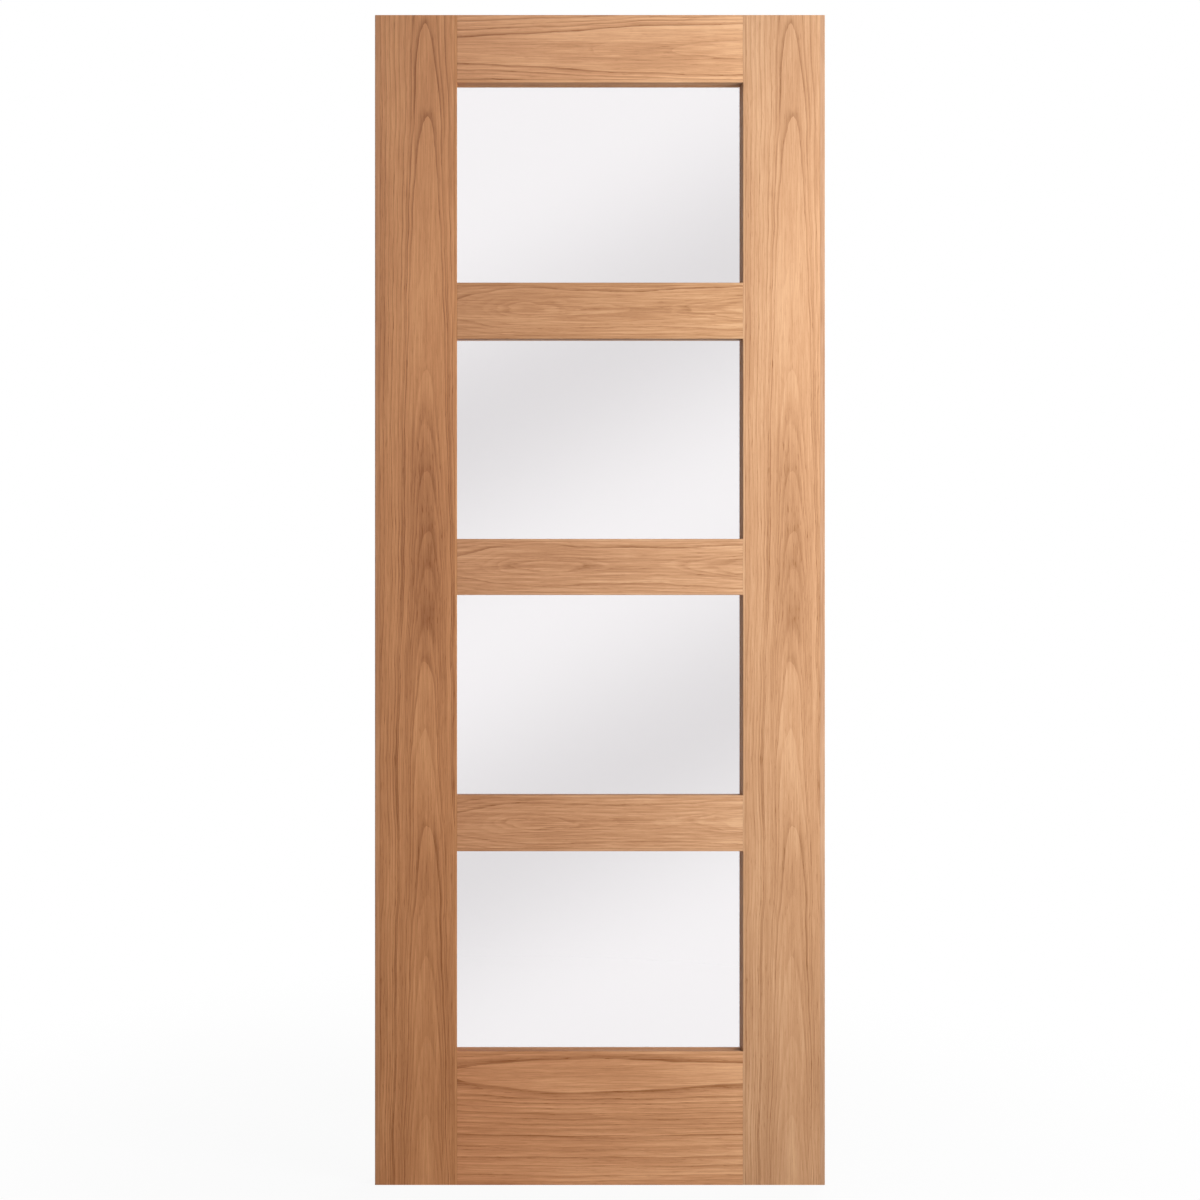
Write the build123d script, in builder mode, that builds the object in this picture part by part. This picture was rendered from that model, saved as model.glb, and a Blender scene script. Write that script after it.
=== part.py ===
"""Glazed door leaf: two stiles, five rails, four glass panes held by pinned beads.

Millimetres, +Z up. X runs across the leaf from the hinge edge, Y from the front
face to the back face, and the origin is at the foot of the hinge edge, at half
the thickness.
"""
import os

from build123d import *

# The leaf
LEAF_WIDTH = 762.0
LEAF_HEIGHT = 1981.0
LEAF_THICKNESS = 35.0

# Face widths of the framing, lippings included
STILE_WIDTH = 139.0
TOP_RAIL_HEIGHT = 114.0
CROSS_RAIL_HEIGHT = 95.0
BOTTOM_RAIL_HEIGHT = 226.0
CROSS_RAIL_COUNT = 3

# How each stile and rail is made up
FACING_THICKNESS = 3.2
OUTER_LIPPING = 8.0
INNER_LIPPING = 4.0
OUTER_ARRIS = 1.0
SIGHT_ARRIS = 0.8
JOINT_ARRIS = 0.3

# Glazing
FRONT_LIP_DEPTH = 13.5
GLASS_THICKNESS = 4.0
REBATE_COVER = 11.0
GLASS_CLEARANCE = 2.0
BEAD_FIT = 0.3
BEAD_SETBACK = 0.5
BEAD_STANDBACK = 2.0
BEAD_ARRIS = 1.5
MITRE_KERF = 0.3

# Worked out from the sizes above
FRONT = -LEAF_THICKNESS / 2
BACK = LEAF_THICKNESS / 2
CORE_FRONT = FRONT + FACING_THICKNESS
CORE_BACK = BACK - FACING_THICKNESS
LIP_BACK = FRONT + FRONT_LIP_DEPTH
GLASS_BACK = LIP_BACK + GLASS_THICKNESS
REBATE_DEPTH = LEAF_THICKNESS - FRONT_LIP_DEPTH

PANE_COUNT = CROSS_RAIL_COUNT + 1
SIGHT_WIDTH = LEAF_WIDTH - 2 * STILE_WIDTH
SIGHT_HEIGHT = (
    LEAF_HEIGHT - TOP_RAIL_HEIGHT - BOTTOM_RAIL_HEIGHT - CROSS_RAIL_COUNT * CROSS_RAIL_HEIGHT
) / PANE_COUNT
BAY_PITCH = SIGHT_HEIGHT + CROSS_RAIL_HEIGHT
SIGHT_LEFT = STILE_WIDTH
SIGHT_MIDDLE = LEAF_WIDTH / 2

PANE_NAMES = ["bottom_pane", "lower_pane", "upper_pane", "top_pane"]
CROSS_RAIL_NAMES = ["lower_rail", "middle_rail", "upper_rail"]

os.makedirs("parts", exist_ok=True)


def pane_foot(bay):
    """Height of the lower sight edge of a pane, counted from the bottom."""
    return BOTTOM_RAIL_HEIGHT + bay * BAY_PITCH


def pane_centre(bay):
    """Centre of a pane on a plane that faces the front: across, then up."""
    return (SIGHT_MIDDLE, pane_foot(bay) + SIGHT_HEIGHT / 2)


def front_plane(depth):
    """The plane that faces the front at a given Y, with X across and Z up in the sketch."""
    return Plane.XZ.offset(-depth)


def keep(name, piece):
    """Label a finished piece and write it."""
    piece.label = name
    export_step(piece, f"parts/{name}.step")


def cut_rebates():
    """Cut the four glazing rebates from the back of the piece that is open."""
    with BuildSketch(front_plane(BACK)) as outline:
        with Locations(*[pane_centre(bay) for bay in range(PANE_COUNT)]):
            Rectangle(SIGHT_WIDTH + 2 * REBATE_COVER, SIGHT_HEIGHT + 2 * REBATE_COVER)
    extrude(outline.sketch, amount=REBATE_DEPTH, mode=Mode.SUBTRACT)


def upright(near, far, front, back):
    """Run a full-height strip of the leaf between two distances across and two depths."""
    with BuildSketch(Plane.XY) as section:
        with Locations(((near + far) / 2, (front + back) / 2)):
            Rectangle(abs(far - near), back - front)
    extrude(section.sketch, amount=LEAF_HEIGHT)


def crosspiece(foot, head, front, back):
    """Run a strip between the two stiles, between two heights and two depths."""
    with BuildSketch(Plane.YZ.offset(SIGHT_LEFT)) as section:
        with Locations(((front + back) / 2, (foot + head) / 2)):
            Rectangle(back - front, head - foot)
    extrude(section.sketch, amount=SIGHT_WIDTH)


def ease_rail_ends(outer_side):
    """Take a hair off the two end arrises of a rail piece, so that the joint shows as a fine line."""
    face = faces().filter_by(Axis.Y).sort_by(Axis.Y)[outer_side]
    chamfer(face.edges().filter_by(Axis.Z).group_by(Axis.X)[0], length=JOINT_ARRIS)
    face = faces().filter_by(Axis.Y).sort_by(Axis.Y)[outer_side]
    chamfer(face.edges().filter_by(Axis.Z).group_by(Axis.X)[-1], length=JOINT_ARRIS)


def make_stile(name, outer_edge, inward):
    """One stile: a core between two facings, lipped on both long edges.

    outer_edge is the X of the leaf's edge, and inward is 1 or -1, towards the panes.
    """
    core_start = outer_edge + inward * OUTER_LIPPING
    sight_edge = outer_edge + inward * STILE_WIDTH
    core_end = sight_edge - inward * INNER_LIPPING

    with BuildPart() as core:
        upright(core_start, core_end, CORE_FRONT, CORE_BACK)
        cut_rebates()
    keep(f"{name}_core", core.part)

    with BuildPart() as front_facing:
        upright(core_start, core_end, FRONT, CORE_FRONT)
    keep(f"{name}_front_facing", front_facing.part)

    with BuildPart() as back_facing:
        upright(core_start, core_end, CORE_BACK, BACK)
        cut_rebates()
    keep(f"{name}_back_facing", back_facing.part)

    with BuildPart() as outer_lipping:
        upright(outer_edge, core_start, FRONT, BACK)
        long_edges = outer_lipping.edges().filter_by(Axis.Z).sort_by(Axis.X)
        exposed = long_edges[:2] if inward > 0 else long_edges[-2:]
        fillet(exposed, radius=OUTER_ARRIS)
    keep(f"{name}_outer_lipping", outer_lipping.part)

    with BuildPart() as inner_lipping:
        upright(core_end, sight_edge, FRONT, BACK)
        cut_rebates()
        for bay in range(PANE_COUNT):
            with BuildSketch(Plane.XY.offset(pane_foot(bay))):
                with BuildLine():
                    Polyline(
                        (sight_edge, FRONT),
                        (sight_edge - inward * SIGHT_ARRIS, FRONT),
                        (sight_edge, FRONT + SIGHT_ARRIS),
                        close=True,
                    )
                make_face()
            extrude(amount=SIGHT_HEIGHT, mode=Mode.SUBTRACT)
    keep(f"{name}_inner_lipping", inner_lipping.part)


def make_rail_lipping(name, foot, sight_side):
    """The lipping on a rail's glass edge; sight_side is 0 for a lower edge, -1 for an upper one."""
    with BuildPart() as lipping:
        crosspiece(foot, foot + INNER_LIPPING, FRONT, BACK)
        cut_rebates()
        front_face = lipping.faces().filter_by(Axis.Y).sort_by(Axis.Y)[0]
        chamfer(front_face.edges().filter_by(Axis.X).sort_by(Axis.Z)[sight_side], length=SIGHT_ARRIS)
    keep(name, lipping.part)


def make_rail(name, foot, height, glass_below, glass_above):
    """One rail between the stiles: a core between two facings, lipped where it meets glass."""
    head = foot + height
    core_foot = foot + (INNER_LIPPING if glass_below else 0)
    core_head = head - (INNER_LIPPING if glass_above else 0)

    with BuildPart() as core:
        crosspiece(core_foot, core_head, CORE_FRONT, CORE_BACK)
        cut_rebates()
    keep(f"{name}_core", core.part)

    with BuildPart() as front_facing:
        crosspiece(core_foot, core_head, FRONT, CORE_FRONT)
        ease_rail_ends(0)
    keep(f"{name}_front_facing", front_facing.part)

    with BuildPart() as back_facing:
        crosspiece(core_foot, core_head, CORE_BACK, BACK)
        cut_rebates()
        ease_rail_ends(-1)
    keep(f"{name}_back_facing", back_facing.part)

    if glass_below:
        make_rail_lipping(f"{name}_bottom_lipping", foot, 0)
    if glass_above:
        make_rail_lipping(f"{name}_top_lipping", core_head, -1)


def make_pane(name, bay):
    """One sheet of glass, bedded against the front lip with room round its edges."""
    cover = REBATE_COVER - GLASS_CLEARANCE
    with BuildPart() as pane:
        with BuildSketch(front_plane(GLASS_BACK)):
            with Locations(pane_centre(bay)):
                Rectangle(SIGHT_WIDTH + 2 * cover, SIGHT_HEIGHT + 2 * cover)
        extrude(amount=GLASS_THICKNESS)
    keep(name, pane.part)


def make_beads(name, bay):
    """Four square beads that close a rebate, sawn at the corners to a mitre.

    They stand back a little from the sight line, so that they hide behind the front lip.
    """
    bead_back = BACK - BEAD_SETBACK
    bead_width = REBATE_COVER - BEAD_FIT - BEAD_STANDBACK
    bead_depth = bead_back - GLASS_BACK
    opening_width = SIGHT_WIDTH + 2 * BEAD_STANDBACK
    opening_height = SIGHT_HEIGHT + 2 * BEAD_STANDBACK
    across, up = pane_centre(bay)
    with BuildPart() as beads:
        with BuildSketch(front_plane(bead_back)):
            with Locations((across, up)):
                Rectangle(opening_width + 2 * bead_width, opening_height + 2 * bead_width)
                Rectangle(opening_width, opening_height, mode=Mode.SUBTRACT)
        extrude(amount=bead_depth)
        back_face = beads.faces().filter_by(Axis.Y).sort_by(Axis.Y)[-1]
        chamfer(back_face.inner_wires()[0].edges(), length=BEAD_ARRIS)
        with BuildSketch(front_plane(bead_back)):
            for side in (-1, 1):
                for end in (-1, 1):
                    corner_across = across + side * (opening_width + bead_width) / 2
                    corner_up = up + end * (opening_height + bead_width) / 2
                    with Locations(Location((corner_across, corner_up, 0), (0, 0, side * end * 45))):
                        Rectangle(2 * bead_width, MITRE_KERF)
        extrude(amount=bead_depth, mode=Mode.SUBTRACT)
    keep(name, beads.part)


make_stile("left_stile", 0, 1)
make_stile("right_stile", LEAF_WIDTH, -1)

make_rail("bottom_rail", 0, BOTTOM_RAIL_HEIGHT, glass_below=False, glass_above=True)
for bay, rail_name in enumerate(CROSS_RAIL_NAMES):
    rail_foot = pane_foot(bay) + SIGHT_HEIGHT
    make_rail(rail_name, rail_foot, CROSS_RAIL_HEIGHT, glass_below=True, glass_above=True)
top_rail_foot = LEAF_HEIGHT - TOP_RAIL_HEIGHT
make_rail("top_rail", top_rail_foot, TOP_RAIL_HEIGHT, glass_below=True, glass_above=False)

for bay, pane_name in enumerate(PANE_NAMES):
    make_pane(pane_name, bay)
    make_beads(f"{pane_name}_beads", bay)
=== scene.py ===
"""Glazed door leaf: wood veneer, lippings, core, beads, pins and clear glass in a pale studio."""
import math
from dataclasses import dataclass

import bpy
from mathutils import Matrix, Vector


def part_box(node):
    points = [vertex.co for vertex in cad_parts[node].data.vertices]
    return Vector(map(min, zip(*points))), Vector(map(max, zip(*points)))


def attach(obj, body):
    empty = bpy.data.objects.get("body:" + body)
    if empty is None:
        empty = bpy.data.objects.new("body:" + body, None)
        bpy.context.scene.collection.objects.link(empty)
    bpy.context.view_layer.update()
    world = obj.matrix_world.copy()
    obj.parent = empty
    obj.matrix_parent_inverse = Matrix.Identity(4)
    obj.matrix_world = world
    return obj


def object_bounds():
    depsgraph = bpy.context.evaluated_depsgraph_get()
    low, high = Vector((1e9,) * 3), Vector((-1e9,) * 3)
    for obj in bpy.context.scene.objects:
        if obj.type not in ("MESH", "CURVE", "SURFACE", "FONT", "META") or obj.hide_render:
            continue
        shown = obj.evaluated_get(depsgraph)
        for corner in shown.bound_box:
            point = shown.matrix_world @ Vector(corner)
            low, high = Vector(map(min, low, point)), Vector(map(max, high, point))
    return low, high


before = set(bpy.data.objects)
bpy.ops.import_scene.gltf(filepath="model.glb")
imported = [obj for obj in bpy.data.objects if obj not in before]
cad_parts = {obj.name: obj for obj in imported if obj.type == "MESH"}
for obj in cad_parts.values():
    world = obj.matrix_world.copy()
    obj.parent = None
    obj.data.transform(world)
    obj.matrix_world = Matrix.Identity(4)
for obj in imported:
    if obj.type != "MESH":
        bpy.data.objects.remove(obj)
CAD_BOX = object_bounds()

MM = 0.001
BODY = "root"
PANES = ["bottom_pane", "lower_pane", "upper_pane", "top_pane"]
RAILS = ["bottom_rail", "lower_rail", "middle_rail", "upper_rail", "top_rail"]

LEAF_LOW, LEAF_HIGH = (Vector(corner) for corner in CAD_BOX)
LEAF_CENTRE = (LEAF_LOW + LEAF_HIGH) / 2

# Bead pins
BEAD_WIDTH = 8.7 * MM
PIN_SPACING = 118.0 * MM
PIN_INSET = 26.0 * MM
PIN_RADIUS = 0.85 * MM
PIN_HEIGHT = 0.45 * MM

# Pin heads: sides, width of the top against the foot, and a hair's gap under them
PIN_SIDES = 14
PIN_TAPER = 0.72
PIN_LIFT = 0.02 * MM

# Studio: how bright the white surroundings are as a light
FILL_LEVEL = 0.30
# The floor's size and grey, how white it looks under the leaf, and the distances over which that
# goes to full white
FLOOR_SIZE = 14.0
FLOOR_GREY = 0.52
FLOOR_WHITE = 0.93
FLOOR_FADE = (0.4, 1.6)
# The screen behind the camera: where its soft bands lie, their slant in degrees and their strength
CARD_SIZE = 12.0
CARD_DEPTH = -3.86
CARD_SLANT = 28.4
CARD_PERIOD = 1.66
CARD_MIDDLE = -0.169
CARD_LEVEL = 4.2
CARD_POWER = 0.85
# Lamps: place, height aimed at where that isn't the leaf's middle, size and power
KEY_PLACE = (1.5, -0.80, 1.36)
KEY_AIM = 1.2
KEY_SIZE = (0.7, 2.0)
KEY_POWER = 32.0
BACK_PLACE = (2.06, 2.1, 1.5)
BACK_SIZE = (1.5, 1.5)
BACK_POWER = 72.0

# Camera: how far off it stands and how far to the left, and the photo's height over the leaf's in it
CAMERA_DISTANCE = 2.5
CAMERA_LEFT = 0.381
PHOTO_MARGIN = 1200 / 1170
SENSOR_WIDTH = 36.0


class Value:
    """A number socket of a material, with Python's operators standing for Math nodes."""

    def __init__(self, finish, socket):
        self.finish = finish
        self.socket = socket

    def maths(self, operation, *others):
        terms = [self.socket] + [getattr(term, "socket", term) for term in others]
        return self.finish.maths(operation, terms)

    def __add__(self, other):
        return self.maths("ADD", other)

    def __sub__(self, other):
        return self.maths("SUBTRACT", other)

    def __mul__(self, other):
        return self.maths("MULTIPLY", other)

    def __truediv__(self, other):
        return self.maths("DIVIDE", other)

    def __pow__(self, other):
        return self.maths("POWER", other)

    def __rsub__(self, other):
        return self.finish.maths("SUBTRACT", [other, self.socket])

    __radd__ = __add__
    __rmul__ = __mul__

    def at_least(self, other):
        return self.maths("MAXIMUM", other)

    def at_most(self, other):
        return self.maths("MINIMUM", other)

    def step(self, low, high):
        """0 at low, 1 at high, smooth between; low may be the larger."""
        return self.finish.out(
            "ShaderNodeMapRange",
            {"interpolation_type": "SMOOTHSTEP", "clamp": True},
            {"Value": self, "From Min": low, "From Max": high},
        )


class NodeWork:
    """Adds and joins nodes in one tree."""

    def __init__(self, tree):
        self.tree = tree

    def node(self, kind, settings=None, sockets=None):
        """Add a node: its settings first, then the values or links of its sockets."""
        made = self.tree.nodes.new(kind)
        for key, setting in (settings or {}).items():
            if key == "stops":
                self.set_stops(made.color_ramp, setting)
            elif key == "between":
                made.color_ramp.interpolation = setting
            else:
                setattr(made, key, setting)
        for key, given in (sockets or {}).items():
            self.feed(made.inputs[key], given)
        return made

    def feed(self, target, given):
        """Set a socket to a plain value, or link it."""
        source = getattr(given, "socket", given)
        if isinstance(source, bpy.types.NodeSocket):
            self.tree.links.new(source, target)
        else:
            target.default_value = source

    @staticmethod
    def set_stops(ramp, stops):
        while len(ramp.elements) < len(stops):
            ramp.elements.new(0.5)
        for element, (place, colour) in zip(ramp.elements, stops):
            element.position = place
            element.color = (*colour, 1)

    def out(self, kind, settings=None, sockets=None, output=0):
        """The chosen output of a new node, as a value."""
        return Value(self, self.node(kind, settings, sockets).outputs[output])

    def maths(self, operation, terms):
        sockets = dict(enumerate(terms))
        return self.out("ShaderNodeMath", {"operation": operation}, sockets)

    def seen_rays(self):
        """1 for what the camera sees straight, in a reflection or through glass, 0 for lighting."""
        rays = self.node("ShaderNodeLightPath")
        camera, gloss, through = (
            Value(self, rays.outputs[key])
            for key in ("Is Camera Ray", "Is Glossy Ray", "Is Transmission Ray")
        )
        return camera.at_least(gloss).at_least(through)


class Finish(NodeWork):
    """A material under construction, ending in one Principled shader."""

    def __init__(self, name):
        self.material = bpy.data.materials.new(name)
        self.material.use_nodes = True
        super().__init__(self.material.node_tree)
        self.shader = self.tree.nodes["Principled BSDF"]
        self.output = self.tree.nodes["Material Output"]

    def place(self):
        """Object coordinates as three values."""
        coordinates = self.node("ShaderNodeTexCoord").outputs["Object"]
        split = self.node("ShaderNodeSeparateXYZ", None, {"Vector": coordinates})
        return [Value(self, socket) for socket in split.outputs]

    def point(self, x, y, z):
        return self.out("ShaderNodeCombineXYZ", None, {"X": x, "Y": y, "Z": z})

    def noise(self, point, detail=2.0, roughness=0.5):
        """Smooth noise about 0.5 at a point that is already scaled."""
        sockets = {"Vector": point, "Scale": 1.0, "Detail": detail, "Roughness": roughness}
        return self.out("ShaderNodeTexNoise", {"noise_dimensions": "3D"}, sockets, "Fac")

    def table(self, value, rows, between="LINEAR"):
        """Look a value up in rows of (value, result), with all values from 0 to 1."""
        stops = [(place, (result,) * 3) for place, result in rows]
        return self.out("ShaderNodeValToRGB", {"stops": stops, "between": between}, {"Fac": value})

    def set(self, **values):
        """Set or link sockets of the shader, with _ for a space in the name."""
        for key, given in values.items():
            self.feed(self.shader.inputs[key.replace("_", " ")], given)


def srgb(red, green, blue):
    """A colour as seen on screen, 0 to 255, in the linear values that shaders take."""
    shares = [channel / 255 for channel in (red, green, blue)]
    return tuple(s / 12.92 if s <= 0.04045 else ((s + 0.055) / 1.055) ** 2.4 for s in shares)


# Wood tones, from the pale wood between two rings to the dark line of a ring
TONE_PALE = srgb(214, 161, 114)
TONE_MID = srgb(193, 138, 93)
TONE_DARK = srgb(132, 78, 36)

# How far each board's tone lies from those, as red, green and blue
# The left stile's darker tone is partly painted shade, the right's bluer one partly painted sheen
LEFT_STILE_TONE_AND_SHADE = (1.01, 0.90, 0.81)
RIGHT_STILE_TONE_AND_SHEEN = (0.93, 1.04, 1.22)
BACK_TONE = (0.98, 1.00, 1.06)
BEAD_TONE = (0.97, 0.96, 0.95)
RAIL_TONES = {
    "bottom_rail": (1.06, 1.11, 1.24),
    "lower_rail": (0.985, 1.10, 1.31),
    "middle_rail": (1.01, 1.16, 1.41),
    "upper_rail": (0.925, 1.025, 1.15),
    "top_rail": (1.115, 1.25, 1.46),
}
# What a board's tone falls to at its left end or foot: partly its own tone, partly painted shade
RAIL_DRIFT_AND_SHADE = (0.975, 0.835, 0.745)
LEFT_STILE_DRIFT_AND_SHADE = (0.945, 0.95, 0.97)
# The reveals round the glass are darker, as painted shade, from this far behind the front face
LEFT_REVEAL_SHADE = (0.82, 0.86, 0.92)
RIGHT_REVEAL_SHADE = (0.99, 0.87, 0.85)
LEVEL_REVEAL_SHADE = (0.60, 0.56, 0.54)
REVEAL_SHADE_START = (0.4 * MM, 1.4 * MM)
# The lippings round the glass are a little paler than the faces, those on the leaf's edges darker
# as painted shade along the edges
LIPPING_TINT = (0.99, 1.01, 1.04)
EDGE_SHADE_TINT = (0.83, 0.84, 0.91)

# Specular level of each kind of wood
FACE_GLOSS = 0.14
LIPPING_GLOSS = 0.08
BEAD_GLOSS = 0.06

# Shape of the stiles' arches: how far a leg has come down at a distance from the middle is the sum
# of the distance to each power times its factor
ARCH_LEGS = ((1.6, 22.0), (3.0, 10500.0))

# How far a dark heart reaches to each side, and how far its ends fade
HEART_WIDTH = 0.042
HEART_FADE = 0.06

# A list of lines reaches this much past its last one, and past this share of that counts as beyond it
LIST_REACH = 1.12
LIST_END = 0.998
# Cycles looks a ramp up in steps of this width, so a flat row starts one step early
RAMP_STEP = 1 / 256

# Shape of a line: how much a steep level narrows it, and how fast it pales away from its dark side
SLOPE_POWER = 0.62
LINE_POWER = 1.4
# Where between two lines the shade is full and where it has gone, as shares of the way
SHADE_FULL = 0.15
SHADE_GONE = 0.9
# How much of a line always shows, and how much more where it doesn't fade
LINE_KEPT = 0.42
LINE_FADING = 0.66

# Rings: the step along the board that gives their slope, as a share of its length, and the least slope
SLOPE_STEP = 0.02
LEAST_SLOPE = 0.03
# Depths go through a ramp times this, to use more of its range
DEPTH_SCALE = 10.0

# Noise that bends and fades the lines: cells a metre, detail, and steps of its seed
SWAY_CELLS = 3.2
FADE_CELLS = (5.0, 40.0)
FADE_START = (0.30, 0.62)
BEND_DETAIL = 3.0
RIPPLE_SEED, CLOUD_SEED, SWAY_SEED, FADE_SEED = 3.0, 5.0, 7.0, 11.0
# How far past the heart the near side's paler lines begin
BELOW_EDGE = 0.01

# Fine texture: cells a metre along and across the grain, then the noise's detail and roughness
FIBRE_NOISE = (18.0, 620.0, 3.0, 0.65)
STREAK_NOISE = (5.0, 190.0, 2.0, 0.5)
PORE_NOISE = (90.0, 2600.0, 1.0, 0.5)
DASH_NOISE = (45.0, 700.0, 2.0, 0.5)
CLOUD_CELLS = (2.4, 14.0)
# The levels of their noise between which pores and dashes come in
PORE_START = (0.13, 0.23)
DASH_START = (0.08, 0.22)

# What each adds to the wood's darkness, which is 0 at the pale tone, MID_PLACE at the middle one and
# 1 at the dark one
MID_PLACE = 0.3
PLAIN_DARK = 0.22
FIBRE_DARK = 0.85
STREAK_DARK = 0.6
CLOUD_DARK = 0.55
PORE_DARK = 0.15
LINE_DARK = 0.62
SHADE_DARK = 0.5
DASH_DARK = 0.14
FIGURE_DASH_DARK = 0.45
GLUE_DARK = 0.3
# How far from a facing's edge the glue line ends and where it is full
GLUE_LINE = (1.0 * MM, 0.2 * MM)

# Relief of fibre and lines against the depth of a pore, and the satin finish
PORE_DEPTH = 0.12 * MM
FIBRE_RELIEF = 0.6
LINE_RELIEF = 0.3
RELIEF_STRENGTH = 0.3
SATIN = 0.46
FIBRE_ROUGH = 0.16
PORE_ROUGH = 0.2

# Core: width of a strip, width of a year ring, how deep the pith lies, and the ring's wobble
CORE_STRIP = 0.032
CORE_RING = 0.0027
PITH_DEPTH = 0.05
WOBBLE_CELLS = (4.0, 60.0)
WOBBLE_RINGS = 2.0
CORE_TINT_DARK = 0.3
CORE_RING_DARK = 0.5
CORE_WOBBLE_DARK = 0.2
CORE_TONES = [(0.0, srgb(232, 200, 158)), (0.5, srgb(214, 174, 126)), (1.0, srgb(180, 134, 88))]

# Glass: tint of what is seen through it, and of the light that it lets through
GLASS_TINT = (0.772, 0.749, 0.762, 1)
GLASS_SHADE = (0.93, 0.94, 0.94, 1)

# Steel: scratches a metre across and along, and the tones between them
SCRATCH_CELLS = (4000.0, 900.0)
STEEL_TONES = [(0.3, srgb(150, 148, 145)), (0.8, srgb(196, 194, 190))]


def tinted(colour, tone):
    return tuple(channel * share for channel, share in zip(colour, tone))


@dataclass
class Board:
    """How one board's figure runs.

    foot and edge are the board's lowest corner along and across the grain, length is its size along
    the grain, and centre is how far over the heart lies. Without depths the figure is a stack of
    arches; with them it is rings round a heart that lies at those depths behind the face, given as
    (share of the length, depth). Each list of lines has rows of (level, line, shade): the arch's
    height or the ring's radius, how dark its line is, and how dark the wood just outside it.
    below is how much of the lines shows on the near side of the heart. hearts lists stretches of
    darker wood along the middle, as (start, end, how dark). figure and fibre are how strong the
    lines and the fine fibre are. The drift tone is what the tone falls to at the start of the length:
    partly the wood's own tone and partly painted shade where less light falls.
    """

    seed: float
    foot: float
    edge: float
    length: float = 1.0
    centre: float = 0.0
    depths: tuple = ()
    lines: tuple = ()
    far_lines: tuple = ()
    soft: float = 0.004
    ripple: float = 0.006
    ripple_rate: float = 8.0
    ripple_cross: float = 24.0
    sway: float = 0.012
    figure: float = 1.0
    fibre: float = 1.0
    below: float = 1.0
    hearts: tuple = ()
    drift_and_shade: tuple = ()


def arch_level(along, side):
    """The height of the arch through a point, and how fast that changes across the arch's line."""
    level, lean = along, 0.0
    for power, factor in ARCH_LEGS:
        level = level + factor * side ** power
        lean = lean + power * factor * side ** (power - 1.0)
    return level, (1.0 + lean * lean) ** 0.5


def ring_level(finish, along, side, board):
    """The radius of the ring through a point, and how fast that changes across the ring's line."""
    rows = [(place, DEPTH_SCALE * depth) for place, depth in board.depths]

    def depth_at(share):
        return finish.table(share, rows, "CARDINAL") / DEPTH_SCALE

    share = along / board.length
    depth = depth_at(share)
    fall = depth * (depth_at(share + SLOPE_STEP) - depth) / (SLOPE_STEP * board.length)
    radius = (side * side + depth * depth) ** 0.5
    return radius, (side * side + fall * fall) ** 0.5 / radius + LEAST_SLOPE


def listed_lines(finish, level, slope, rows, soft):
    """Dark lines at listed levels, hard on the inner side and soft on the outer, and their shade."""
    reach = rows[-1][0] * LIST_REACH
    marks = [0.0] + [row[0] for row in rows] + [reach]
    starts = [max(0.0, mark / reach - RAMP_STEP) for mark in marks[:-1]]
    gaps = [(after - before) / reach for before, after in zip(marks, marks[1:])]
    place = (level / reach).at_most(LIST_END)
    count = len(marks)
    number = finish.table(place, [(mark / reach, order / count) for order, mark in enumerate(marks)])
    turn = (number * count).maths("FRACT")

    def listed(values):
        return finish.table(place, list(zip(starts, values)), "CONSTANT")

    distance = turn * listed(gaps) * reach / slope ** SLOPE_POWER
    line = distance.step(soft, 0.0) ** LINE_POWER * listed([0.0] + [row[1] for row in rows])
    band = turn.step(SHADE_GONE, SHADE_FULL) * turn.step(0.0, SHADE_FULL)
    return line, band * listed([0.0] + [row[2] for row in rows])


def ring_figure(finish, along, across, board):
    """The dark lines of the year rings and the broad shade beside them, each 0 to about 1."""
    seed = board.seed
    sway = finish.noise(finish.point(along * SWAY_CELLS, seed + SWAY_SEED, 0.0), BEND_DETAIL) - 0.5
    waves = finish.point(along * board.ripple_rate, across * board.ripple_cross, seed + RIPPLE_SEED)
    ripple = (finish.noise(waves, BEND_DETAIL) - 0.5) * board.ripple
    offset = across - board.centre + sway * board.sway
    side = offset.maths("ABSOLUTE")
    if board.depths:
        level, slope = ring_level(finish, along, side, board)
    else:
        level, slope = arch_level(along, side)
    line, shade = listed_lines(finish, level + ripple, slope, board.lines, board.soft)
    if board.far_lines:
        far_line, far_shade = listed_lines(finish, level + ripple, slope, board.far_lines, board.soft)
        line, shade = line + far_line, shade + far_shade
    for start, end, dark in board.hearts:
        stretch = along.step(start - HEART_FADE, start + HEART_FADE)
        stretch = stretch * along.step(end + HEART_FADE, end - HEART_FADE)
        shade = shade + stretch * side.step(HEART_WIDTH, 0.0) * dark
    spots = finish.point(along * FADE_CELLS[0], across * FADE_CELLS[1], seed + FADE_SEED)
    fade = finish.noise(spots, BEND_DETAIL).step(*FADE_START)
    if board.below < 1.0:
        fade = fade * (board.below + (1.0 - board.below) * offset.step(-BELOW_EDGE, BELOW_EDGE))
    line = line * (LINE_KEPT * board.below + LINE_FADING * fade)
    return line * board.figure, shade * board.figure


def upright_share(x, z, low, high):
    """1 on the upright sticks of a mitred ring of beads, 0 on the level ones."""
    from_sides = (x - low[0]).at_most(high[0] - x)
    from_ends = (z - low[2]).at_most(high[2] - z)
    return from_sides.maths("LESS_THAN", from_ends)


def toned(finish, colour, share, tone):
    """A colour times a tone, by a share from 0 to 1."""
    settings = {"data_type": "RGBA", "blend_type": "MULTIPLY"}
    return finish.node("ShaderNodeMix", settings, {0: share, 6: colour, 7: (*tone, 1)}).outputs[2]


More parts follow.
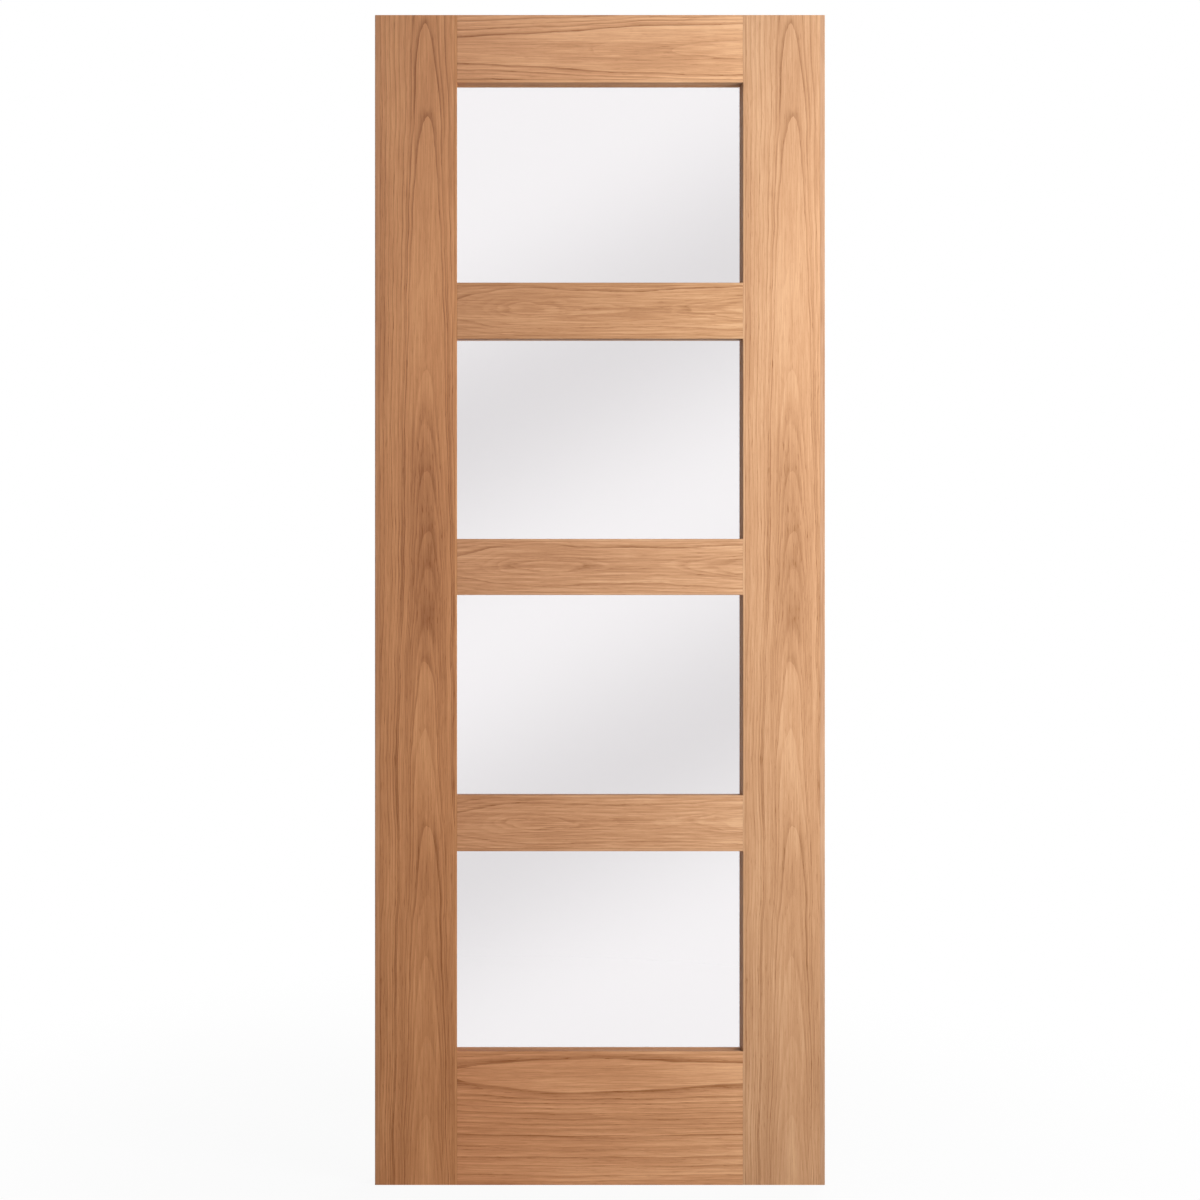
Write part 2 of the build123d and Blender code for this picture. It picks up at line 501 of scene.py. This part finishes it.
def wood(name, grain_axis, board, tone, width=None, gloss=FACE_GLOSS, ring=None, reveal_shade=None):
    """A satin finished wood.

    width is the board's, where a glue line shows along its edges, ring is the box of a mitred ring,
    whose upright sticks have upright grain, and the reveal tone is painted shade on the faces behind
    the front one.
    """
    finish = Finish(name)
    x, y, z = finish.place()
    along, across = (z, x) if grain_axis == "Z" else (x, z)
    along, across = along - board.foot, across - board.edge
    if ring:
        upright = upright_share(x, z, *ring)
        along, across = along + upright * (across - along), across + upright * (along - across)
    deep = y + 1.0

    def strands(along_cells, across_cells, detail, roughness):
        """Noise drawn out along the grain."""
        layer = deep * across_cells + board.seed
        point = finish.point(along * along_cells, across * across_cells, layer)
        return finish.noise(point, detail, roughness) - 0.5

    fibre = strands(*FIBRE_NOISE)
    streak = strands(*STREAK_NOISE)
    pores = strands(*PORE_NOISE).step(*PORE_START)
    dashes = strands(*DASH_NOISE).step(*DASH_START)
    clouds = finish.point(along * CLOUD_CELLS[0], across * CLOUD_CELLS[1], board.seed + CLOUD_SEED)
    dark = PLAIN_DARK + (fibre * FIBRE_DARK + streak * STREAK_DARK) * board.fibre
    dark = dark + (finish.noise(clouds) - 0.5) * CLOUD_DARK + pores * PORE_DARK
    height = fibre * FIBRE_RELIEF - pores
    if board.lines:
        line, shade = ring_figure(finish, along, across, board)
        dark = dark + line * LINE_DARK + shade * SHADE_DARK
        dark = dark + dashes * (DASH_DARK + (line + shade) * FIGURE_DASH_DARK)
        height = height - line * LINE_RELIEF
    if width:
        gap = across.at_most(width - across)
        dark = dark + gap.step(*GLUE_LINE) * GLUE_DARK
    stops = [(0.0, TONE_PALE), (MID_PLACE, TONE_MID), (1.0, TONE_DARK)]
    stops = [(place, tinted(colour, tone)) for place, colour in stops]
    colour = finish.node("ShaderNodeValToRGB", {"stops": stops}, {"Fac": dark}).outputs["Color"]
    # Partly painted shade: the tone drifts darker towards the start of the length
    if board.drift_and_shade:
        colour = toned(finish, colour, 1.0 - along / board.length, board.drift_and_shade)
    # Painted shade: the faces behind the front one, the reveals, take the darker reveal tone
    if reveal_shade:
        colour = toned(finish, colour, (y - LEAF_LOW.y).step(*REVEAL_SHADE_START), reveal_shade)
    relief = {"Strength": RELIEF_STRENGTH, "Distance": PORE_DEPTH, "Height": height}
    bump = finish.node("ShaderNodeBump", None, relief)
    finish.set(Base_Color=colour, Normal=bump.outputs["Normal"], Specular_IOR_Level=gloss)
    finish.set(Roughness=SATIN + fibre * FIBRE_ROUGH + pores * PORE_ROUGH)
    return finish.material


def dress(node, material):
    """Give a CAD node one material."""
    slots = bpy.data.objects[node].data.materials
    slots.clear()
    slots.append(material)


# The arches of the stiles: height of the top, line, shade
STILE_ARCHES = (
    (0.120, 0.2, 0.15), (0.250, 0.25, 0.2), (0.381, 0.3, 0.25), (0.490, 0.15, 0.2), (0.608, 0.6, 0.35),
    (0.769, 0.3, 0.2), (0.889, 0.6, 0.25), (0.938, 0.12, 0.4), (1.042, 0.15, 0.3), (1.107, 0.35, 0.15),
    (1.211, 0.35, 0.2), (1.287, 0.12, 0.4), (1.378, 0.2, 0.2), (1.560, 0.12, 0.1), (1.808, 0.95, 0.12),
    (1.964, 0.9, 0.12),
)
# The same for arches that would close above the leaf, which run up it as almost straight lines
STILE_STRAIGHTS = (
    (2.09, 0.55, 0.08), (2.40, 0.7, 0.1), (2.92, 0.4, 0.1), (3.55, 0.7, 0.1), (4.40, 0.4, 0.1),
    (5.40, 0.65, 0.1), (6.70, 0.4, 0.1),
)
# How far across a stile its arches stand, as a share of its width
STILE_HEART = 0.62
STILE_CUT = dict(
    lines=STILE_ARCHES, far_lines=STILE_STRAIGHTS, hearts=((0.46, 0.60, 0.25), (0.92, 1.28, 0.55)),
    soft=0.016, ripple=0.032, ripple_rate=9.0, ripple_cross=60.0, sway=0.032,
)

# Seeds of the noise in each board; those of the rails go up by a step from rail to rail
STILE_SEEDS = {"front": 3.0, "back": 23.0, "outer": 31.0, "inner": 33.0}
RAIL_SEEDS = {"front": 11.0, "back": 51.0}
RAIL_SEED_STEP = 2.7
RAIL_LIPPING_SEED = 71.0
BEAD_SEED = 80.0


def dress_stiles():
    """Both stiles are faced with neighbouring leaves of one flitch, so their arches repeat."""
    # The stiles' tones, reveal tones and drift carry painted shade and sheen of the light from the
    # right
    stiles = (
        ("left_stile", LEFT_STILE_TONE_AND_SHADE, LEFT_REVEAL_SHADE, LEFT_STILE_DRIFT_AND_SHADE, dict(figure=1.0, fibre=0.9)),
        ("right_stile", RIGHT_STILE_TONE_AND_SHEEN, RIGHT_REVEAL_SHADE, (), dict(figure=0.7, fibre=0.7)),
    )
    for stile, tone, reveal_shade, drift_and_shade, strength in stiles:
        for side in ("front", "back"):
            node = f"{stile}_{side}_facing"
            low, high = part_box(node)
            width, length = high[0] - low[0], high[2] - low[2]
            ways = dict(centre=STILE_HEART * width, **strength, **STILE_CUT)
            cut = Board(STILE_SEEDS[side], low[2], low[0], length, **ways)
            veneer = BACK_TONE
            if side == "front":
                veneer, cut.drift_and_shade = tone, drift_and_shade
            dress(node, wood(node, "Z", cut, veneer, width))
        # The outer lippings' darker tint is painted shade along the leaf's edges
        lippings = (
            ("outer", EDGE_SHADE_TINT, dict(gloss=FACE_GLOSS)),
            ("inner", LIPPING_TINT, dict(gloss=LIPPING_GLOSS, reveal_shade=reveal_shade)),
        )
        for side, tint, ways in lippings:
            node = f"{stile}_{side}_lipping"
            low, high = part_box(node)
            cut = Board(STILE_SEEDS[side], low[2], low[0], high[2] - low[2], drift_and_shade=drift_and_shade)
            dress(node, wood(node, "Z", cut, tinted(tone, tint), **ways))


# The cross rails come from one flitch: an eye near the left end and a dark line above it
CROSS_RAIL_CUT = dict(
    depths=(
        (0.0, 0.046), (0.12, 0.0395), (0.25, 0.036), (0.45, 0.0375), (0.65, 0.039), (0.85, 0.0365),
        (1.0, 0.033),
    ),
    lines=(
        (0.0345, 0.15, 0.3), (0.0368, 0.22, 0.4), (0.0385, 0.25, 0.2), (0.0415, 0.15, 0.1),
        (0.0450, 0.12, 0.1), (0.0488, 0.95, 0.3), (0.053, 0.3, 0.1), (0.057, 0.4, 0.2),
        (0.061, 0.3, 0.1), (0.066, 0.4, 0.1),
    ),
    ripple=0.005, ripple_rate=14.0, ripple_cross=60.0, figure=0.9, fibre=1.15, below=0.35,
)
RAIL_CUTS = {
    "bottom_rail": dict(
        centre=0.838,
        depths=((0.0, 0.0388), (0.2, 0.033), (0.4, 0.030), (0.7, 0.0315), (1.0, 0.0352)),
        lines=(
            (0.0397, 0.8, 0.7), (0.0492, 0.4, 0.3), (0.0558, 0.4, 0.2), (0.0626, 0.35, 0.2),
            (0.0707, 0.4, 0.3), (0.0789, 0.35, 0.2), (0.0873, 0.3, 0.2), (0.0949, 0.3, 0.15),
            (0.1063, 0.9, 0.25), (0.1247, 0.3, 0.3), (0.1422, 0.5, 0.5), (0.1559, 0.45, 0.3),
            (0.1716, 0.4, 0.3), (0.1805, 0.6, 0.3),
        ),
        ripple=0.010, ripple_rate=3.5,
    ),
    "lower_rail": dict(CROSS_RAIL_CUT, centre=0.50),
    "middle_rail": dict(CROSS_RAIL_CUT, centre=0.52),
    "upper_rail": dict(CROSS_RAIL_CUT, centre=0.54),
    "top_rail": dict(
        centre=0.464,
        depths=((0.0, 0.0429), (0.5, 0.0315), (1.0, 0.020)),
        lines=(
            (0.0246, 0.45, 0.25), (0.033, 0.15, 0.1), (0.0468, 0.8, 0.35), (0.0535, 0.55, 0.2),
            (0.058, 0.3, 0.1), (0.0644, 0.6, 0.25), (0.070, 0.4, 0.1), (0.076, 0.3, 0.1),
        ),
        ripple=0.008,
    ),
}


def dress_rails():
    """Each rail has its own veneer, with eyes and tongues along it."""
    for order, rail in enumerate(RAILS):
        for side, seed in RAIL_SEEDS.items():
            node = f"{rail}_{side}_facing"
            low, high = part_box(node)
            height = high[2] - low[2]
            ways = dict(RAIL_CUTS[rail], length=high[0] - low[0])
            ways["centre"] *= height
            cut = Board(seed + order * RAIL_SEED_STEP, low[0], low[2], **ways)
            tone = BACK_TONE
            if side == "front":
                # The rail's drift towards its left end is partly painted shade
                tone, cut.drift_and_shade = RAIL_TONES[rail], RAIL_DRIFT_AND_SHADE
            dress(node, wood(node, "X", cut, tone, height))
        for side in ("top", "bottom"):
            node = f"{rail}_{side}_lipping"
            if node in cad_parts:
                low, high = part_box(node)
                seed, length = RAIL_LIPPING_SEED + order, high[0] - low[0]
                cut = Board(seed, low[0], low[2], length, drift_and_shade=RAIL_DRIFT_AND_SHADE)
                tone = tinted(RAIL_TONES[rail], LIPPING_TINT)
                # The reveal tone on these lippings is painted shade under and over the panes
                dress(node, wood(node, "X", cut, tone, gloss=LIPPING_GLOSS, reveal_shade=LEVEL_REVEAL_SHADE))


def show_as(finish, share, shader):
    """Show another shader in place of a finish's own, by a share from 0 to 1."""
    both = finish.node("ShaderNodeMixShader", None, {"Fac": share})
    finish.feed(both.inputs[1], finish.shader.outputs[0])
    finish.feed(both.inputs[2], shader.outputs[0])
    finish.feed(finish.output.inputs["Surface"], both.outputs[0])


def core_timber(grain_axis):
    """Pale softwood strips glued side by side, sawn across at their ends."""
    upright = grain_axis == "Z"
    finish = Finish("core_timber_upright" if upright else "core_timber_level")
    x, y, z = finish.place()
    along, across = (z, x) if upright else (x, z)
    strip = (across / CORE_STRIP).maths("FLOOR")
    tint = finish.out("ShaderNodeTexWhiteNoise", {"noise_dimensions": "1D"}, {"W": strip})
    side = across - (strip + tint) * CORE_STRIP
    depth = y - PITH_DEPTH + tint * (2 * PITH_DEPTH)
    length_cells, cross_cells = WOBBLE_CELLS
    bends = finish.point(along * length_cells, side * cross_cells, depth * cross_cells + strip)
    wobble = finish.noise(bends)
    radius = (side * side + depth * depth) ** 0.5
    rings = (radius / CORE_RING + wobble * WOBBLE_RINGS).maths("FRACT")
    dark = tint * CORE_TINT_DARK + rings.step(0.2, 1.0) * CORE_RING_DARK + wobble * CORE_WOBBLE_DARK
    colour = finish.node("ShaderNodeValToRGB", {"stops": CORE_TONES}, {"Fac": dark}).outputs["Color"]
    finish.set(Base_Color=colour, Roughness=0.75, Specular_IOR_Level=0.2)
    return finish.material


def clear_glass():
    """Clear sheet glass that lets lamps through to the beads behind it."""
    finish = Finish("clear_glass")
    finish.set(Base_Color=GLASS_TINT, Roughness=0.0, IOR=1.5, Transmission_Weight=1.0)
    rays = finish.node("ShaderNodeLightPath")
    shadow = Value(finish, rays.outputs["Is Shadow Ray"])
    diffuse = Value(finish, rays.outputs["Is Diffuse Ray"])
    clear = finish.node("ShaderNodeBsdfTransparent", None, {"Color": GLASS_SHADE})
    show_as(finish, shadow.at_least(diffuse), clear)
    return finish.material


dress_stiles()
dress_rails()
glass = clear_glass()
cores = {"stile": core_timber("Z"), "rail": core_timber("X")}
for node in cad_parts:
    if node.endswith("_core"):
        dress(node, cores[node.split("_")[1]])
    elif node in PANES:
        dress(node, glass)
    elif node.endswith("_beads"):
        low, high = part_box(node)
        cut = Board(BEAD_SEED, low[0], low[2])
        dress(node, wood(node, "X", cut, BEAD_TONE, gloss=BEAD_GLOSS, ring=(low, high)))


def pin_tree(material):
    """Geometry Nodes that set pin heads along the edges of a guide mesh."""
    tree = bpy.data.node_groups.new("bead_pins", "GeometryNodeTree")
    face = tree.interface
    face.new_socket("Guide", in_out="INPUT", socket_type="NodeSocketGeometry")
    face.new_socket("Spacing", in_out="INPUT", socket_type="NodeSocketFloat")
    face.new_socket("Head Radius", in_out="INPUT", socket_type="NodeSocketFloat")
    face.new_socket("Head Height", in_out="INPUT", socket_type="NodeSocketFloat")
    face.new_socket("Pins", in_out="OUTPUT", socket_type="NodeSocketGeometry")
    work = NodeWork(tree)
    given = work.node("NodeGroupInput").outputs
    rim = Value(work, given["Head Radius"])
    line = work.node("GeometryNodeMeshToCurve", None, {"Mesh": given["Guide"]})
    spots = work.node(
        "GeometryNodeResampleCurve",
        {"mode": "LENGTH"},
        {"Curve": line.outputs[0], "Length": given["Spacing"]},
    )
    head = work.node(
        "GeometryNodeMeshCone",
        {"fill_type": "NGON"},
        {
            "Vertices": PIN_SIDES,
            "Radius Top": rim * PIN_TAPER,
            "Radius Bottom": rim,
            "Depth": given["Head Height"],
        },
    )
    facing = work.node(
        "FunctionNodeAxesToRotation",
        None,
        {"Primary Axis": (0.0, 1.0, 0.0), "Secondary Axis": (1.0, 0.0, 0.0)},
    )
    set_out = work.node(
        "GeometryNodeInstanceOnPoints",
        None,
        {"Points": spots.outputs[0], "Instance": head.outputs["Mesh"], "Rotation": facing.outputs[0]},
    )
    solid = work.node("GeometryNodeRealizeInstances", None, {"Geometry": set_out.outputs[0]})
    dressing = {"Geometry": solid.outputs[0], "Material": material}
    steel = work.node("GeometryNodeSetMaterial", None, dressing)
    result = work.node("NodeGroupOutput")
    work.feed(result.inputs["Pins"], steel.outputs[0])
    return tree


def pin_steel():
    """Dull bright steel of a pin head, a little scratched."""
    finish = Finish("pin_steel")
    x, y, z = finish.place()
    fine, coarse = SCRATCH_CELLS
    scratch = finish.noise(finish.point(x * fine, y * fine, z * coarse))
    grey = finish.node("ShaderNodeValToRGB", {"stops": STEEL_TONES}, {"Fac": scratch})
    finish.set(Base_Color=grey.outputs["Color"], Metallic=1.0, Roughness=0.3 + scratch * 0.25)
    return finish.material


def add_pins():
    """Pins along the middle of each bead, square to the back of the leaf."""
    ends = []
    for pane in PANES:
        low, high = (Vector(corner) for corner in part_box(f"{pane}_beads"))
        inset = BEAD_WIDTH / 2
        depth = high.y + PIN_LIFT
        left, right = low.x + inset, high.x - inset
        foot, head = low.z + inset, high.z - inset
        for rail in (foot, head):
            ends.append(((left + PIN_INSET, depth, rail), (right - PIN_INSET, depth, rail)))
        for stile in (left, right):
            ends.append(((stile, depth, foot + PIN_INSET), (stile, depth, head - PIN_INSET)))
    guide = bpy.data.meshes.new("pin_guide")
    points = [point for pair in ends for point in pair]
    guide.from_pydata(points, [(2 * order, 2 * order + 1) for order in range(len(ends))], [])
    holder = bpy.data.objects.new("pin_guide", guide)
    bpy.context.collection.objects.link(holder)
    tree = pin_tree(pin_steel())
    modifier = holder.modifiers.new("pins", "NODES")
    modifier.node_group = tree
    sizes = {"Spacing": PIN_SPACING, "Head Radius": PIN_RADIUS, "Head Height": PIN_HEIGHT}
    for item in tree.interface.items_tree:
        if item.in_out == "INPUT" and item.name in sizes:
            modifier[item.identifier] = sizes[item.name]
    bpy.context.view_layer.update()
    evaluated = holder.evaluated_get(bpy.context.evaluated_depsgraph_get())
    mesh = bpy.data.meshes.new_from_object(evaluated)
    bpy.data.objects.remove(holder)
    pins = bpy.data.objects.new("bead_pins", mesh)
    bpy.context.collection.objects.link(pins)
    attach(pins, BODY)


def set_world():
    """White surroundings, which light the leaf more gently than they look."""
    world = bpy.data.worlds.new("studio")
    bpy.context.scene.world = world
    world.use_nodes = True
    work = NodeWork(world.node_tree)
    background = world.node_tree.nodes["Background"]
    background.inputs["Color"].default_value = (1, 1, 1, 1)
    work.feed(background.inputs["Strength"], FILL_LEVEL + (1.0 - FILL_LEVEL) * work.seen_rays())


def add_floor():
    """A pale floor that looks almost white and keeps a trace of the leaf's shadow."""
    bpy.ops.mesh.primitive_plane_add(size=FLOOR_SIZE, location=(LEAF_CENTRE.x, 0.0, LEAF_LOW.z))
    floor = bpy.context.object
    floor.name = "floor"
    finish = Finish("floor")
    finish.set(Base_Color=(FLOOR_GREY, FLOOR_GREY, FLOOR_GREY, 1), Roughness=0.8)
    x, y, z = finish.place()
    away = (x * x + y * y) ** 0.5
    white = finish.node("ShaderNodeEmission", None, {"Color": (1, 1, 1, 1), "Strength": 1.0})
    whiteness = FLOOR_WHITE + (1.0 - FLOOR_WHITE) * away.step(*FLOOR_FADE)
    show_as(finish, finish.seen_rays() * whiteness, white)
    floor.data.materials.append(finish.material)
    floor.visible_glossy = False


def add_reflection_card():
    """A screen of soft slanting light behind the camera, seen only as a reflection in the glass."""
    middle = (LEAF_CENTRE.x, CARD_DEPTH, LEAF_CENTRE.z)
    bpy.ops.mesh.primitive_plane_add(size=CARD_SIZE, location=middle)
    card = bpy.context.object
    card.name = "reflection_card"
    card.rotation_euler = (math.radians(90), 0, 0)
    bpy.context.view_layer.update()
    finish = Finish("reflection_card")
    x, y, z = finish.place()
    slant = math.radians(CARD_SLANT)
    rise = y * math.cos(slant) - x * math.sin(slant)
    place = (rise - CARD_MIDDLE).at_least(-CARD_PERIOD).at_most(CARD_PERIOD)
    wave = (place * (2 * math.pi / CARD_PERIOD)).maths("COSINE")
    level = (0.5 + 0.5 * wave) ** CARD_POWER * CARD_LEVEL
    glow = finish.node("ShaderNodeEmission", None, {"Color": (1, 1, 1, 1), "Strength": level})
    finish.feed(finish.output.inputs["Surface"], glow.outputs[0])
    card.data.materials.append(finish.material)
    card.visible_camera = False
    card.visible_diffuse = False
    card.visible_transmission = False
    card.visible_shadow = False


def add_lamp(name, place, target, size, power):
    """A soft lamp that only lights: it doesn't show in the picture or in the glass."""
    lamp = bpy.data.lights.new(name, "AREA")
    lamp.shape = "RECTANGLE"
    lamp.size, lamp.size_y = size
    lamp.energy = power
    holder = bpy.data.objects.new(name, lamp)
    holder.location = place
    holder.rotation_euler = (Vector(target) - Vector(place)).to_track_quat("-Z", "Y").to_euler()
    holder.visible_camera = False
    holder.visible_transmission = False
    holder.visible_glossy = False
    bpy.context.collection.objects.link(holder)


def set_stage():
    """Surroundings and lamps, brightest from the right."""
    set_world()
    add_floor()
    add_reflection_card()
    add_lamp("key", KEY_PLACE, (LEAF_CENTRE.x, 0.0, KEY_AIM), KEY_SIZE, KEY_POWER)
    add_lamp("back_key", BACK_PLACE, LEAF_CENTRE, BACK_SIZE, BACK_POWER)


def set_camera():
    """Square on to the front face and to the left, shifted so that the leaf is in the middle."""
    frame_width = LEAF_HIGH.z * PHOTO_MARGIN
    lens = bpy.data.cameras.new("camera")
    lens.sensor_width = SENSOR_WIDTH
    lens.lens = SENSOR_WIDTH * CAMERA_DISTANCE / frame_width
    lens.shift_x = CAMERA_LEFT / frame_width
    holder = bpy.data.objects.new("camera", lens)
    holder.location = (LEAF_CENTRE.x - CAMERA_LEFT, LEAF_LOW.y - CAMERA_DISTANCE, LEAF_CENTRE.z)
    holder.rotation_euler = (math.radians(90), 0, 0)
    bpy.context.collection.objects.link(holder)
    bpy.context.scene.camera = holder


add_pins()
set_stage()
set_camera()
bpy.context.scene.view_settings.view_transform = "Standard"
